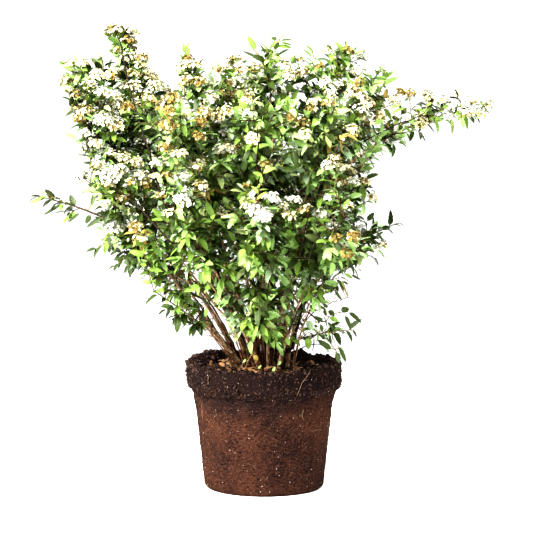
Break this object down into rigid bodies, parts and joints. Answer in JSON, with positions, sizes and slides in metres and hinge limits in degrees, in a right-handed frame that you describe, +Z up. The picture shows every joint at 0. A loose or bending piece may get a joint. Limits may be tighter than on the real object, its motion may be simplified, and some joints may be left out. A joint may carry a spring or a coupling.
{
  "type": "bridal wreath spirea on its root ball",
  "caption": "Flowering spirea shrub: slim canes fan out from a flat-footed, pot-shaped root ball into arching, leafy branches that end in small rounded flower heads.",
  "frame": {"origin": "middle of the root ball's flat underside", "axes": "+Z up along the root ball's axis, -Y towards the shrub's front as pictured, +X to the viewer's right; -Z is out of the underside"},
  "size_m": [0.8341, 0.582, 0.8317],
  "materials": {
    "soil": "matt dark brown potting mix bound by fine roots",
    "bark": "matt brown bark",
    "foliage": "satin leaves with matt white flower heads"
  },
  "bodies": {
    "root": {"bough_back_left": "bark", "bough_back_middle": "bark", "bough_back_right": "bark", "bough_crest_right": "bark", "bough_flank_right": "bark", "bough_front_low": "bark", "bough_low_left": "bark", "bough_rim_right": "bark", "bough_side_left": "bark", "bough_side_right": "bark", "bough_skirt_left": "bark", "bough_spire_left": "bark", "cane_back_upper": "bark", "cane_back_upper_left": "bark", "cane_back_upper_right": "bark", "cane_branch_right": "bark", "cane_front_left": "bark", "cane_front_middle": "bark", "cane_front_right": "bark", "cane_front_upper": "bark", "cane_front_upper_left": "bark", "cane_front_upper_right": "bark", "cane_lobe_left": "bark", "cane_low_right": "bark", "cane_shoot_left": "bark", "cane_shoulder_left": "bark", "cane_top_left": "bark", "cane_top_middle": "bark", "cane_top_right": "bark", "foliage_back_left": "foliage", "foliage_back_middle": "foliage", "foliage_back_right": "foliage", "foliage_back_upper": "foliage", "foliage_back_upper_left": "foliage", "foliage_back_upper_right": "foliage", "foliage_branch_right": "foliage", "foliage_crest_right": "foliage", "foliage_flank_right": "foliage", "foliage_front_left": "foliage", "foliage_front_low": "foliage", "foliage_front_middle": "foliage", "foliage_front_right": "foliage", "foliage_front_upper": "foliage", "foliage_front_upper_left": "foliage", "foliage_front_upper_right": "foliage", "foliage_lobe_left": "foliage", "foliage_low_left": "foliage", "foliage_low_right": "foliage", "foliage_rim_right": "foliage", "foliage_shoot_left": "foliage", "foliage_shoulder_left": "foliage", "foliage_side_left": "foliage", "foliage_side_right": "foliage", "foliage_skirt_left": "foliage", "foliage_spire_left": "foliage", "foliage_top_left": "foliage", "foliage_top_middle": "foliage", "foliage_top_right": "foliage", "root_ball": "soil"}
  },
  "joints": []
}
